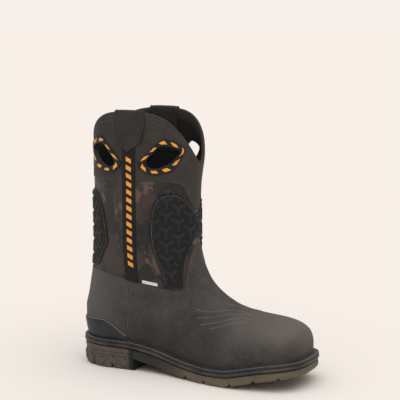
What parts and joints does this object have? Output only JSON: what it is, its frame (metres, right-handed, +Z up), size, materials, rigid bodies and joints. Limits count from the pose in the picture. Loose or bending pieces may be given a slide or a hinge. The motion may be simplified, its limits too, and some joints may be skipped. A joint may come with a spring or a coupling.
{
  "type": "western work boot",
  "caption": "Pull-on western work boot, right foot, with a scalloped collar, finger holes, pull straps, tread panels on the shaft and a lugged sole with a separate heel.",
  "frame": {"origin": "middle of the boot's length and width, on the plane the sole stands on", "axes": "+X to the toe, +Y to the inner (medial) side, +Z up the shaft"},
  "size_m": [0.3102, 0.1134, 0.3287],
  "materials": {
    "leather": "matte oiled",
    "black_rubber": "matte",
    "olive_rubber": "matte",
    "brown_rubber": "matte",
    "strap": "woven",
    "webbing": "woven",
    "tag": "woven",
    "lining": "soft"
  },
  "bodies": {
    "root": {"upper": "leather", "heel_guard": "black_rubber", "front_tread_panel": "black_rubber", "rear_tread_panel": "black_rubber", "pull_strap_lateral": "strap", "pull_strap_medial": "strap", "side_strip_lateral": "webbing", "side_strip_medial": "webbing", "hole_frame_front_lateral": "black_rubber", "hole_frame_rear_lateral": "black_rubber", "hole_frame_front_medial": "black_rubber", "hole_frame_rear_medial": "black_rubber", "side_tag": "tag", "insole": "lining", "welt": "black_rubber", "midsole": "black_rubber", "outsole": "olive_rubber", "heel": "brown_rubber"}
  },
  "joints": []
}
